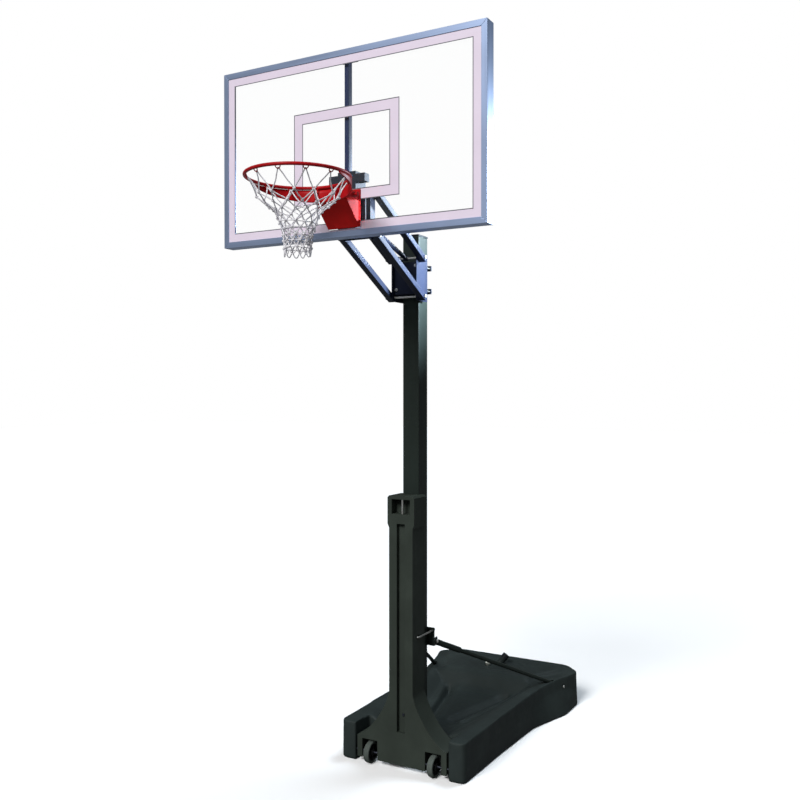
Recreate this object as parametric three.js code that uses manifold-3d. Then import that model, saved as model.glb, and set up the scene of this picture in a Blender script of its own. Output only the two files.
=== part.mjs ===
// Portable basketball hoop: a ballasted plastic base on two wheels, a square steel mast with a moulded
// front shroud, four parallel arms with a gas lift strut, a framed glass backboard and a breakaway rim.
// Units are millimetres. +Z is up, the board faces -Y and +X is to the viewer's right.
// The origin lies on the floor under the axis of the mast. The ring stands at its full height.

import * as THREE from 'three';
import { mergeVertices } from 'three/addons/utils/BufferGeometryUtils.js';
import Module from 'manifold-3d';

const wasm = await Module();
wasm.setup();

// ---------- driving dimensions ----------

const GAP = 0.4; // clearance between parts that touch

const MAST_SIZE = 101.6;
const MAST_WALL = 4.8;
const MAST_BOTTOM = 38;
const MAST_TOP = 2925;

const RIM_HEIGHT = 3048; // top of the ring above the floor
const RING_INNER_RADIUS = 228.6;
const RING_ROD_RADIUS = 8;
const RING_REACH = 381; // board face to ring centre

const BOARD_WIDTH = 1524;
const BOARD_HEIGHT = 914.4;
const BOARD_FACE_Y = -710;
const BOARD_BOTTOM = RIM_HEIGHT - 221.5;
const FRAME_DEPTH = 70;
const FRAME_FACE = 30;
const FRAME_LIP = 3.5;
const GLASS_THICKNESS = 12.7;
const GLASS_EDGE = 4.6; // from the outside of the frame to the edge of the glass
const STRIPE_THICKNESS = 0.6;
const BORDER_INSET = 71.5;
const TARGET_WIDTH = 609.6;
const TARGET_HEIGHT = 457.2;
const TARGET_LINE = 50.8;
const TARGET_BOTTOM = RIM_HEIGHT - 45;

const PIVOT_Y = -105; // the arm pivots on the mast
const PIVOT_LOW = 2587;
const PIVOT_SPACING = 210;
const ARM_SLOPE = THREE.MathUtils.degToRad(28.7);
const ARM_RUN = 472; // from the mast pivots to the board pivots, level
const ARM_WIDTH = 38;
const ARM_HEIGHT = 30;
const ARM_WALL = 3;
const ARM_X = 98.5;
const ARM_TAIL = 22; // tube beyond each pivot
const PIN_RADIUS = 6;
const BUSH_RADIUS = 9.5; // welded across the inside of each arm at its pivots
const CHEEK_X = 79; // outer faces of the pivot cheeks
const CHEEK_PLATE = 6;
const ARM_RISE = ARM_RUN * Math.tan(ARM_SLOPE);
const BOARD_PIVOT_Y = PIVOT_Y - ARM_RUN;
const BOARD_PIVOT_LOW = PIVOT_LOW + ARM_RISE;

const LUG_RISE = 102.6; // gas strut lug above the lower board pivot
const CYLINDER_LENGTH = 380;
const CYLINDER_RADIUS = 13;
const ROD_RADIUS = 6;

const RIM_PIN_Y = BOARD_FACE_Y - 42;
const RIM_PIN_Z = RIM_HEIGHT - 31;
const RIM_PIN_RADIUS = 5;
const HOUSING_HALF = 91;
const HOUSING_BOTTOM = 2868;
const MOUNT_TOP = TARGET_BOTTOM + TARGET_LINE - 4;
const BRACE_HEIGHT = 62;
const BRACE_ARC = THREE.MathUtils.degToRad(96);
const NET_HOOKS = 12;
const NET_LENGTH = 345;

const SHROUD_HALF = 74;
const SHROUD_HEAD_HALF = 84;
const SHROUD_FRONT = -163.6;
const SHROUD_BACK = -27;
const SHROUD_TOP = 1500;
const SHROUD_NECK = 1340;
const SHROUD_BOTTOM = 26;
const SHROUD_WALL = 5;
const FLARE_START = 425;
const FLARE_END = 148;
const FOOT_HALF = 280;
const CHANNEL_HALF = 25;
const CHANNEL_BOTTOM = 205;
const CHANNEL_TOP = 1347;
const CHANNEL_DEPTH = 26;
const WINDOW_HALF = 57;
const WINDOW_BOTTOM = 1400;
const WINDOW_TOP = 1481;
const BAR_X = 4;
const BAR_Y = SHROUD_FRONT + 14;
const SHROUD_BOLT_Z = 299;

const WHEEL_X = 199;
const WHEEL_Y = -150;
const WHEEL_RADIUS = 59.5;
const WHEEL_WIDTH = 34;
const AXLE_Z = 60.5;
const AXLE_RADIUS = 7;
const POCKET_INNER = 150;
const POCKET_OUTER = 248;
const POCKET_TOP = 132;

const BASE_FRONT = -168;
const BASE_HEIGHT = 215;
const SADDLE_HEIGHT = 238;
const VALLEY_FLOOR = 118;
const BLOCK_INNER = 292;
const BASE_WALL = 8;
const SOCKET_HALF = MAST_SIZE / 2 + 1.5;
const BALLAST_LEVEL = 190;

const CLAMP_Z = 726; // the U-bolt that holds the stay clamp
const CLAMP_BACK = 58;
const EAR_X = 93; // outer faces of the clamp plate's ears
const STAY_TOP = new THREE.Vector3(70, 78, 662);
const STAY_END = new THREE.Vector3(452, 1128, 158);
const STAY_SEAT_X = 470; // seats of the bolt heads on the tank's sides
const STAY_RADIUS = 12;

const FILLER = new THREE.Vector3(10, 1150, SADDLE_HEIGHT - 6);
const FILLER_AXIS = new THREE.Vector3(0.55, 0.3, 0.78).normalize();
const PLUG_X = -48;
const PLUG_Y = 1095;

// ---------- materials ----------

const finish = (color, roughness, metalness) => ({ color, roughness, metalness });
const TANK_PLASTIC = finish(0x2c3538, 0.62, 0);
const WATER_AND_SAND = finish(0xb9a67c, 0.9, 0);
const BLACK_STEEL = finish(0x23272f, 0.42, 0.4);
const BLUE_STEEL = finish(0x22345c, 0.4, 0.3);
const ZINC = finish(0xb8b9b4, 0.35, 0.9);
const ALUMINIUM = finish(0x9fb2cc, 0.38, 0.8);
const GLASS = { ...finish(0xeef4f4, 0.05, 0), transparent: true, opacity: 0.3 };
const WHITE_PRINT = finish(0xf0e8f2, 0.55, 0);
const RIM_RED = finish(0xb4161c, 0.4, 0.2);
const WHITE_CORD = finish(0xf2f2f2, 0.85, 0);
const TYRE_GREY = finish(0x8a8f8c, 0.7, 0);

const hoop = new THREE.Group();

function addPart(name, body, look) {
  const geometry = body.isBufferGeometry ? body : geometryOf(body);
  geometry.computeVertexNormals();
  const mesh = new THREE.Mesh(geometry, new THREE.MeshStandardMaterial(look));
  mesh.name = name;
  hoop.add(mesh);
}

// ---------- solids and booleans ----------

function solidOf(geometry) {
  const bare = geometry.clone();
  bare.deleteAttribute('normal');
  bare.deleteAttribute('uv');
  const merged = mergeVertices(bare, 1e-4);
  return new wasm.Manifold(new wasm.Mesh({
    numProp: 3,
    vertProperties: new Float32Array(merged.attributes.position.array),
    triVerts: new Uint32Array(merged.index.array),
  }));
}

function geometryOf(manifold) {
  const mesh = manifold.getMesh();
  const geometry = new THREE.BufferGeometry();
  geometry.setAttribute('position', new THREE.BufferAttribute(new Float32Array(mesh.vertProperties), 3));
  geometry.setIndex(new THREE.BufferAttribute(new Uint32Array(mesh.triVerts), 1));
  return geometry;
}

const joined = (first, ...others) => others.reduce((sum, other) => sum.add(other), first);
const without = (first, ...others) => others.reduce((rest, other) => rest.subtract(other), first);

function box(x0, x1, y0, y1, z0, z1) {
  const geometry = new THREE.BoxGeometry(x1 - x0, y1 - y0, z1 - z0);
  geometry.translate((x0 + x1) / 2, (y0 + y1) / 2, (z0 + z1) / 2);
  return solidOf(geometry);
}

const X_AXIS = new THREE.Vector3(1, 0, 0);
const Y_AXIS = new THREE.Vector3(0, 1, 0);
const Z_AXIS = new THREE.Vector3(0, 0, 1);

function prism(outline, length, across, up, along, start) {
  const shape = new THREE.Shape(outline.map(([u, v]) => new THREE.Vector2(u, v)));
  const geometry = new THREE.ExtrudeGeometry(shape, { depth: length, bevelEnabled: false });
  geometry.applyMatrix4(new THREE.Matrix4().makeBasis(across, up, along));
  geometry.translate(start.x, start.y, start.z);
  return solidOf(geometry);
}

// A side profile of [y, z] points, extruded from x0 to x1.
const prismX = (outline, x0, x1) =>
  prism(outline, x1 - x0, Y_AXIS, Z_AXIS, X_AXIS, new THREE.Vector3(x0, 0, 0));

// A front profile of [x, z] points, extruded from y0 to y1.
const prismY = (outline, y0, y1) =>
  prism(outline, y1 - y0, X_AXIS, Z_AXIS, Y_AXIS.clone().negate(), new THREE.Vector3(0, y1, 0));

function rod(from, to, radius, sides = 14) {
  const axis = to.clone().sub(from);
  const geometry = new THREE.CylinderGeometry(radius, radius, axis.length(), sides);
  geometry.applyQuaternion(new THREE.Quaternion().setFromUnitVectors(Y_AXIS, axis.clone().normalize()));
  const middle = from.clone().add(to).multiplyScalar(0.5);
  geometry.translate(middle.x, middle.y, middle.z);
  return solidOf(geometry);
}

const at = (x, y, z) => new THREE.Vector3(x, y, z);
const along = (from, direction, distance) => from.clone().addScaledVector(direction, distance);
const rodX = (x0, x1, y, z, radius, sides) => rod(at(x0, y, z), at(x1, y, z), radius, sides);
const rodY = (x, y0, y1, z, radius, sides) => rod(at(x, y0, z), at(x, y1, z), radius, sides);

function sweep(curve, radius, steps, sides) {
  const section = new THREE.Shape();
  section.absarc(0, 0, radius, 0, Math.PI * 2, false);
  const geometry = new THREE.ExtrudeGeometry(section, {
    steps, curveSegments: sides / 2, bevelEnabled: false, extrudePath: curve,
  });
  return solidOf(geometry);
}

// Rings of [x, y] points at rising heights, skinned and capped.
function loft(rings) {
  const count = rings[0].points.length;
  const positions = [];
  const corner = (ring, i) => [ring.points[i % count][0], ring.points[i % count][1], ring.z];
  for (let level = 0; level + 1 < rings.length; level += 1) {
    for (let i = 0; i < count; i += 1) {
      const [a, b] = [corner(rings[level], i), corner(rings[level], i + 1)];
      const [c, d] = [corner(rings[level + 1], i), corner(rings[level + 1], i + 1)];
      positions.push(...a, ...b, ...d, ...a, ...d, ...c);
    }
  }
  for (const [ring, flip] of [[rings[0], true], [rings[rings.length - 1], false]]) {
    const flat = ring.points.map(([x, y]) => new THREE.Vector2(x, y));
    for (const [i, j, k] of THREE.ShapeUtils.triangulateShape(flat, [])) {
      positions.push(...corner(ring, i), ...corner(ring, flip ? k : j), ...corner(ring, flip ? j : k));
    }
  }
  const geometry = new THREE.BufferGeometry();
  geometry.setAttribute('position', new THREE.Float32BufferAttribute(positions, 3));
  return solidOf(geometry);
}

// The right half of a plan, from front to rear, made into a closed counter-clockwise ring.
const mirrored = (half) => [...half, ...half.map(([x, y]) => [-x, y]).reverse()];

function hexBolt(head, direction, size, shankLength) {
  const crown = along(head, direction, -size * 0.65);
  const shank = rod(along(head, direction, -1), along(head, direction, shankLength), size * 0.5, 12);
  return joined(rod(crown, head, size * 0.95, 6), shank);
}

// ---------- ballast base ----------

// The tank's outline at its foot and at its shoulder, as half plans.
const FOOT_PLAN = [
  [387, BASE_FRONT], [398, 300], [420, 735], [472, 905], [521, 1060], [518, 1290], [408, 1400],
];
const SHOULDER_PLAN = [
  [385, BASE_FRONT], [391, 300], [401, 735], [408, 905], [438, 1078], [512, 1290], [402, 1398],
];
const SADDLE_ROOT = [[360, 880], [470, 1290], [385, 1370]];
const SADDLE_WAIST = [[360, 950], [455, 1270], [370, 1355]];
const SADDLE_CROWN = [[320, 1010], [415, 1240], [345, 1320]];

function insetPlan(plan, inset) {
  const middle = 500; // the walls ahead of this move back, those behind it move forward
  return plan.map(([x, y]) => {
    const shift = y < middle ? inset : -inset * Math.min(1, (y - middle) / 500);
    return [x - inset, y + shift];
  });
}

// The saddle's front edge moves back and its other edges move in.
const insetSaddle = ([front, side, rear], inset) => [
  [front[0] - inset, front[1] + inset],
  [side[0] - inset, side[1]],
  [rear[0] - inset, rear[1] - inset],
];

// The outside of the tank, or a smaller copy of it that lies inset inside its walls.
function tankBody(inset) {
  const foot = insetPlan(FOOT_PLAN, inset);
  const shoulder = insetPlan(SHOULDER_PLAN, inset);
  const body = loft([
    { z: inset, points: mirrored(insetPlan(foot, 9)) },
    { z: inset + 9, points: mirrored(foot) },
    { z: BASE_HEIGHT - 20 - inset, points: mirrored(shoulder) },
    { z: BASE_HEIGHT - inset, points: mirrored(insetPlan(shoulder, 18)) },
  ]);
  const saddle = loft([
    { z: BASE_HEIGHT - 60, points: mirrored(insetSaddle(SADDLE_ROOT, inset)) },
    { z: BASE_HEIGHT - 4 - inset, points: mirrored(insetSaddle(SADDLE_WAIST, inset)) },
    { z: SADDLE_HEIGHT - inset, points: mirrored(insetSaddle(SADDLE_CROWN, inset)) },
  ]);
  const valleyFloor = [[110 + inset, -60], [205 + inset, 720 + inset], [150, 800 + inset]];
  const valleyRim = [[490 + inset, -60], [480 + inset, 930 + inset], [170, 1010 + inset]];
  const valley = loft([
    { z: VALLEY_FLOOR - inset, points: mirrored(valleyFloor) },
    { z: BASE_HEIGHT + 60, points: mirrored(valleyRim) },
  ]);
  const pocket = box(-BLOCK_INNER - inset, BLOCK_INNER + inset, -400, -18 + inset, -10, 400);
  const socket = SOCKET_HALF + inset;
  const mastHole = box(-socket, socket, -socket, socket, MAST_BOTTOM - GAP - inset, 400);
  return without(joined(without(body, valley), saddle), pocket, mastHole);
}

// The slot in the deck that each stay's flat foot lies in, behind the tank's side.
function staySlot(side, grow) {
  const end = mirrorX(STAY_END, side);
  const axis = end.clone().sub(mirrorX(STAY_TOP, side)).normalize();
  const width = 26 + 2 * grow;
  return stayTab(along(end, axis, -330 - grow), along(end, axis, 28 + grow), width, 17 + grow);
}

// A cylinder along X through each stay's bolt, from near the tank's side to a depth inside it.
const boltBore = (side, outer, inner, radius) => {
  const xs = [outer * side, inner * side].sort((a, b) => a - b);
  return rodX(xs[0], xs[1], STAY_END.y, STAY_END.z, radius, 16);
};

const mirrorX = (point, side) => at(point.x * side, point.y, point.z);

function buildBase() {
  const neckEnd = along(FILLER, FILLER_AXIS, 48);
  const neckRoot = along(FILLER, FILLER_AXIS, -24);
  const boltHoles = [1, -1].flatMap((side) => [
    boltBore(side, STAY_SEAT_X + 30, STAY_SEAT_X, 14), boltBore(side, STAY_SEAT_X + 5, 410, 6)]);
  const outside = joined(tankBody(0), rod(neckRoot, neckEnd, 21));
  const inside = without(tankBody(BASE_WALL), staySlot(1, BASE_WALL), staySlot(-1, BASE_WALL));
  const bore = rod(along(neckRoot, FILLER_AXIS, -20), along(neckEnd, FILLER_AXIS, 5), 16);
  const drainHole = rod(at(PLUG_X, PLUG_Y, 190), at(PLUG_X, PLUG_Y, 260), 9, 12);
  const tank = without(outside, inside, staySlot(1, 0), staySlot(-1, 0), bore, drainHole, ...boltHoles);
  addPart('base_tank', tank, TANK_PLASTIC);

  const level = box(-600, 600, -300, 1500, 0, BALLAST_LEVEL);
  const inset = BASE_WALL + 2;
  const stays = [staySlot(1, inset), staySlot(-1, inset)];
  const bolts = [1, -1].map((side) => boltBore(side, STAY_SEAT_X + 30, 404, 8));
  addPart('ballast', without(tankBody(inset), ...stays, ...bolts).intersect(level), WATER_AND_SAND);

  const capStart = along(neckEnd, FILLER_AXIS, GAP);
  const cap = joined(
    rod(capStart, along(capStart, FILLER_AXIS, 30), 24),
    rod(along(capStart, FILLER_AXIS, -26), along(capStart, FILLER_AXIS, 1), 15),
  );
  addPart('filler_cap', cap, BLACK_STEEL);

  const plug = joined(
    rod(at(PLUG_X, PLUG_Y, SADDLE_HEIGHT + GAP), at(PLUG_X, PLUG_Y, SADDLE_HEIGHT + 9), 16),
    rod(at(PLUG_X, PLUG_Y, 215), at(PLUG_X, PLUG_Y, SADDLE_HEIGHT + 1), 8.4, 12),
  );
  addPart('drain_plug', plug, ZINC);
}

// ---------- mast ----------

function buildMast() {
  const half = MAST_SIZE / 2;
  const inner = half - MAST_WALL;
  const tube = without(
    box(-half, half, -half, half, MAST_BOTTOM, MAST_TOP),
    box(-inner, inner, -inner, inner, MAST_BOTTOM - 5, MAST_TOP + 5),
  );
  addPart('mast_pole', tube, BLACK_STEEL);
  const rim = half + 1.5;
  const cap = joined(
    loft([
      { z: MAST_TOP + GAP, points: mirrored([[rim, -rim], [rim, rim]]) },
      { z: MAST_TOP + 9, points: mirrored([[rim, -rim], [rim, rim]]) },
      { z: MAST_TOP + 14, points: mirrored([[rim - 12, -rim + 12], [rim - 12, rim - 12]]) },
    ]),
    box(-inner + 1, inner - 1, -inner + 1, inner - 1, MAST_TOP - 24, MAST_TOP + 2),
  );
  addPart('mast_cap', cap, BLACK_STEEL);
}

// ---------- front shroud, grab bar and wheels ----------

// The front outline of the shroud, inset by its wall for the hollow behind it.
function shroudOutline(inset) {
  const curve = [];
  const steps = 12;
  for (let i = 0; i <= steps; i += 1) {
    const t = i / steps;
    const x = SHROUD_HALF + (FOOT_HALF - SHROUD_HALF) * t ** 1.35;
    curve.push([x - inset, FLARE_START + (FLARE_END - FLARE_START) * (1 - (1 - t) ** 1.35) - inset * t]);
  }
  const half = [
    [FOOT_HALF - inset, SHROUD_BOTTOM],
    ...curve.reverse(),
    [SHROUD_HALF - inset, SHROUD_NECK - 16],
    [SHROUD_HEAD_HALF - inset, SHROUD_NECK + 6],
    [SHROUD_HEAD_HALF - inset, SHROUD_TOP - 10 - inset],
    [SHROUD_HEAD_HALF - 10 - inset, SHROUD_TOP - inset],
  ];
  return mirrored(half);
}

function buildShroud() {
  const inside = SHROUD_FRONT + SHROUD_WALL;
  const mastHalf = MAST_SIZE / 2 + 2;
  const footHalf = FOOT_HALF - SHROUD_WALL;
  const shell = without(
    prismY(shroudOutline(0), SHROUD_FRONT, SHROUD_BACK),
    prismY(shroudOutline(SHROUD_WALL), inside, SHROUD_BACK + 5),
    box(-footHalf, footHalf, inside, SHROUD_BACK + 5, 0, SHROUD_BOTTOM + 20),
    box(-mastHalf, mastHalf, -mastHalf - 4, SHROUD_BACK + 5, SHROUD_TOP - 40, SHROUD_TOP + 5),
  );
  const wall = SHROUD_WALL - 1;
  const channelBack = SHROUD_FRONT + CHANNEL_DEPTH + wall;
  const channelWall = box(-CHANNEL_HALF - wall, CHANNEL_HALF + wall, inside - 1, channelBack,
    CHANNEL_BOTTOM - wall, CHANNEL_TOP + wall);
  const channel = box(-CHANNEL_HALF, CHANNEL_HALF, SHROUD_FRONT - 5, SHROUD_FRONT + CHANNEL_DEPTH,
    CHANNEL_BOTTOM, CHANNEL_TOP);
  const frameWall = box(-WINDOW_HALF - wall, WINDOW_HALF + wall, inside - 1, SHROUD_FRONT + 60,
    WINDOW_BOTTOM - wall, WINDOW_TOP + wall);
  const window = box(-WINDOW_HALF, WINDOW_HALF, SHROUD_FRONT - 5, SHROUD_FRONT + 60 - wall,
    WINDOW_BOTTOM, WINDOW_TOP);
  const ribs = [];
  const pockets = [];
  for (const side of [-1, 1]) {
    const xs = [POCKET_INNER * side, POCKET_OUTER * side].sort((a, b) => a - b);
    ribs.push(box(xs[0] - wall, xs[1] + wall, inside - 1, -88, SHROUD_BOTTOM, POCKET_TOP + wall));
    pockets.push(box(xs[0], xs[1], SHROUD_FRONT - 5, -88 + 5, 0, POCKET_TOP));
  }
  const slots = [-1, 1].map((side) => box(
    side * SHROUD_HALF - 12, side * SHROUD_HALF + 12, -117, -84, CLAMP_Z - 9, CLAMP_Z + 9));
  const barHole = rod(at(BAR_X, BAR_Y, WINDOW_BOTTOM - 12), at(BAR_X, BAR_Y, WINDOW_TOP + 12), 7.6);
  const boltHole = rodY(BAR_X, SHROUD_FRONT - 5, SHROUD_FRONT + 80, SHROUD_BOLT_Z, 5, 12);
  const shroud = without(
    joined(shell, channelWall, frameWall, ...ribs),
    channel, window, ...pockets, ...slots, barHole, boltHole,
    rodX(-300, 300, WHEEL_Y, AXLE_Z, AXLE_RADIUS + GAP),
  );
  addPart('mast_shroud', shroud, TANK_PLASTIC);

  const bar = rod(at(BAR_X, BAR_Y, WINDOW_BOTTOM - 11), at(BAR_X, BAR_Y, WINDOW_TOP + 11), 7);
  addPart('grab_bar', bar, ZINC);
  const boltHead = at(BAR_X, SHROUD_FRONT + CHANNEL_DEPTH - GAP, SHROUD_BOLT_Z);
  addPart('shroud_bolt', hexBolt(boltHead, Y_AXIS, 9, 60), BLACK_STEEL);
}

function wheelProfile() {
  const half = WHEEL_WIDTH / 2;
  const bore = AXLE_RADIUS + GAP;
  return [
    [bore, -half - 2], [17, -half - 2], [19, -8], [41, -8], [45, -half + 2], [52, -half],
    [56.5, -half + 2.5], [WHEEL_RADIUS - 0.6, -half + 8], [WHEEL_RADIUS, 0], [WHEEL_RADIUS - 0.6, half - 8],
    [56.5, half - 2.5], [52, half], [45, half - 2], [41, 8], [19, 8], [17, half + 2], [bore, half + 2],
    [bore, -half - 2],
  ].map(([r, x]) => new THREE.Vector2(r, x));
}

function buildWheels() {
  const end = FOOT_HALF + 9;
  addPart('wheel_axle', rodX(-end, end, WHEEL_Y, AXLE_Z, AXLE_RADIUS), ZINC);
  for (const [name, side] of [['left', -1], ['right', 1]]) {
    const wheel = new THREE.LatheGeometry(wheelProfile(), 24);
    wheel.rotateZ(-Math.PI / 2);
    wheel.translate(WHEEL_X * side, WHEEL_Y, AXLE_Z);
    addPart(`wheel_${name}`, solidOf(wheel), TYRE_GREY);
  }
}

// ---------- stays and their clamp ----------

function buildStays() {
  const leg = 80;
  const corner = 14;
  const front = -106;
  const path = new THREE.CurvePath();
  const [z, back] = [CLAMP_Z, CLAMP_BACK + 22];
  path.add(new THREE.LineCurve3(at(-leg, back, z), at(-leg, front + corner, z)));
  const turn = (a, b, c) => new THREE.QuadraticBezierCurve3(at(...a, z), at(...b, z), at(...c, z));
  path.add(turn([-leg, front + corner], [-leg, front], [-leg + corner, front]));
  path.add(new THREE.LineCurve3(at(-leg + corner, front, z), at(leg - corner, front, z)));
  path.add(turn([leg - corner, front], [leg, front], [leg, front + corner]));
  path.add(new THREE.LineCurve3(at(leg, front + corner, z), at(leg, back, z)));
  const nuts = [-leg, leg].map((x) => rodY(x, CLAMP_BACK + GAP, CLAMP_BACK + 10, z, 9.5, 6));
  addPart('stay_u_bolt', joined(sweep(path, 5, 44, 8), ...nuts), ZINC);

  const plate = without(
    joined(
      box(-EAR_X, EAR_X, CLAMP_BACK - 6, CLAMP_BACK, 640, 688),
      box(-leg - 12, leg + 12, CLAMP_BACK - 6, CLAMP_BACK, 687, 742),
      box(-EAR_X, -EAR_X + 6, CLAMP_BACK - 6, CLAMP_BACK + 33, 640, 684),
      box(EAR_X - 6, EAR_X, CLAMP_BACK - 6, CLAMP_BACK + 33, 640, 684),
    ),
    rodY(-leg, 0, 100, CLAMP_Z, 5.6, 12),
    rodY(leg, 0, 100, CLAMP_Z, 5.6, 12),
    rodX(-100, 100, STAY_TOP.y, STAY_TOP.z, 6.6, 12),
  );
  addPart('stay_clamp_plate', plate, BLACK_STEEL);

  for (const [name, side] of [['left', -1], ['right', 1]]) {
    const top = mirrorX(STAY_TOP, side);
    const end = mirrorX(STAY_END, side);
    const axis = end.clone().sub(top).normalize();
    const step = (distance) => along(top, axis, distance);
    const length = end.distanceTo(top);
    const stay = without(
      joined(
        rod(step(36), step(230), 17, 12),
        rod(step(229), step(length - 60), STAY_RADIUS, 12),
        stayTab(step(-14), step(46), 7, 12),
        stayTab(step(length - 90), step(length + 18), 5, 13),
      ),
      rodX(Math.min(0, side * 600), Math.max(0, side * 600), top.y, top.z, 6.6, 12),
      rodX(Math.min(0, side * 600), Math.max(0, side * 600), end.y, end.z, 5.6, 12),
    );
    addPart(`stay_${name}`, stay, BLACK_STEEL);
    const seat = at((STAY_SEAT_X + GAP) * side, end.y, end.z);
    addPart(`stay_bolt_${name}`, hexBolt(seat, at(-side, 0, 0), 11, 50), ZINC);
  }
  const nutFace = EAR_X + GAP;
  const cross = joined(
    rodX(-nutFace - 1, nutFace + 1, STAY_TOP.y, STAY_TOP.z, 6, 12),
    rodX(-nutFace - 9, -nutFace, STAY_TOP.y, STAY_TOP.z, 10.5, 6),
    rodX(nutFace, nutFace + 9, STAY_TOP.y, STAY_TOP.z, 10.5, 6),
  );
  addPart('stay_cross_bolt', cross, ZINC);
}

// A flat tab that follows a stay, upright and thin across X.
function stayTab(from, to, thickness, halfHeight) {
  const axis = to.clone().sub(from).normalize();
  const across = new THREE.Vector3().crossVectors(axis, Z_AXIS).normalize();
  const up = new THREE.Vector3().crossVectors(across, axis);
  const geometry = new THREE.BoxGeometry(thickness, from.distanceTo(to), halfHeight * 2);
  geometry.applyMatrix4(new THREE.Matrix4().makeBasis(across, axis, up));
  const middle = from.clone().add(to).multiplyScalar(0.5);
  geometry.translate(middle.x, middle.y, middle.z);
  return solidOf(geometry);
}

// ---------- mast head ----------

function cheekOutline(y0, y1, z0, z1, cut) {
  return [[y0 + cut, z0], [y1, z0], [y1, z1], [y0 + cut, z1], [y0, z1 - cut], [y0, z0 + cut]];
}

const STUD_X = 61;
const STUD_LOW = 2629;
const STUD_HIGH = 2757;

function buildMastHead() {
  const high = PIVOT_LOW + PIVOT_SPACING;
  const webFront = PIVOT_Y + 2;
  const outline = cheekOutline(PIVOT_Y - 22, -4, PIVOT_LOW - 23, high + 23, 16);
  const seat = -MAST_SIZE / 2 - GAP;
  const studs = [];
  for (const x of [-STUD_X, STUD_X]) {
    for (const z of [STUD_LOW, STUD_HIGH]) {
      studs.push({ x, z });
    }
  }
  const bracket = without(
    joined(
      prismX(outline, -CHEEK_X, -CHEEK_X + CHEEK_PLATE),
      prismX(outline, CHEEK_X - CHEEK_PLATE, CHEEK_X),
      box(-CHEEK_X + 1, CHEEK_X - 1, webFront, webFront + CHEEK_PLATE, PIVOT_LOW + 16, high - 20),
      box(-CHEEK_X + 1, CHEEK_X - 1, seat - CHEEK_PLATE, seat, PIVOT_LOW + 16, high - 20),
    ),
    rodX(-100, 100, PIVOT_Y, PIVOT_LOW, PIN_RADIUS + GAP),
    rodX(-100, 100, PIVOT_Y, high, PIN_RADIUS + GAP),
    ...studs.map(({ x, z }) => rodY(x, -120, 0, z, 5.5, 12)),
  );
  addPart('head_bracket', bracket, BLACK_STEEL);

  const barBack = MAST_SIZE / 2 + GAP;
  for (const [name, z] of [['lower', STUD_LOW], ['upper', STUD_HIGH]]) {
    const bar = without(
      box(-72, 72, barBack, barBack + 8, z - 15, z + 15),
      rodY(-STUD_X, 0, 100, z, 5.5, 12),
      rodY(STUD_X, 0, 100, z, 5.5, 12),
    );
    addPart(`clamp_bar_${name}`, bar, BLACK_STEEL);
    for (const [side, x] of [['left', -STUD_X], ['right', STUD_X]]) {
      const head = at(x, webFront - GAP, z);
      const stud = joined(
        hexBolt(head, Y_AXIS, 10, barBack + 26 - webFront),
        rodY(x, barBack + 8 + GAP, barBack + 17, z, 9, 6),
      );
      addPart(`clamp_bolt_${name}_${side}`, stud, ZINC);
    }
  }

  for (const [name, z] of [['lower', PIVOT_LOW], ['upper', high]]) {
    addPart(`mast_pin_${name}`, pivotPin(PIVOT_Y, z), ZINC);
  }
}

// A pivot pin through both arms, with a head and a nut clear of the arms' outer faces.
function pivotPin(y, z) {
  const face = ARM_X + ARM_WIDTH / 2 + 0.6;
  return joined(
    rodX(-face - 1, face + 1, y, z, PIN_RADIUS),
    rodX(-face - 8, -face, y, z, 11, 6),
    rodX(face, face + 8, y, z, 11, 6),
  );
}

// ---------- arms and gas strut ----------

function buildArms() {
  const alongY = -Math.cos(ARM_SLOPE);
  const alongZ = Math.sin(ARM_SLOPE);
  const length = ARM_RUN / Math.cos(ARM_SLOPE);
  const corners = (z, half, tail) => {
    const outline = [[-tail, -half], [length + tail, -half], [length + tail, half], [-tail, half]];
    return outline.map(([s, n]) => [PIVOT_Y + alongY * s + alongZ * n, z + alongZ * s - alongY * n]);
  };
  for (const [level, z] of [['lower', PIVOT_LOW], ['upper', PIVOT_LOW + PIVOT_SPACING]]) {
    for (const [name, side] of [['left', -1], ['right', 1]]) {
      const x0 = ARM_X * side - ARM_WIDTH / 2;
      const x1 = ARM_X * side + ARM_WIDTH / 2;
      const pivots = [[PIVOT_Y, z], [PIVOT_Y - ARM_RUN, z + ARM_RISE]];
      const tube = without(
        prismX(corners(z, ARM_HEIGHT / 2, ARM_TAIL), x0 + 0.5, x1),
        prismX(corners(z, ARM_HEIGHT / 2 - ARM_WALL, ARM_TAIL + 5), x0 + 0.5 + ARM_WALL, x1 - ARM_WALL),
      );
      const bushes = pivots.map(([y, height]) => rodX(x0 + 1, x1 - 1, y, height, BUSH_RADIUS));
      const holes = pivots.map(([y, height]) => rodX(x0 - 5, x1 + 5, y, height, PIN_RADIUS + GAP));
      addPart(`${level}_arm_${name}`, without(joined(tube, ...bushes), ...holes), BLACK_STEEL);
    }
  }
}

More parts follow.
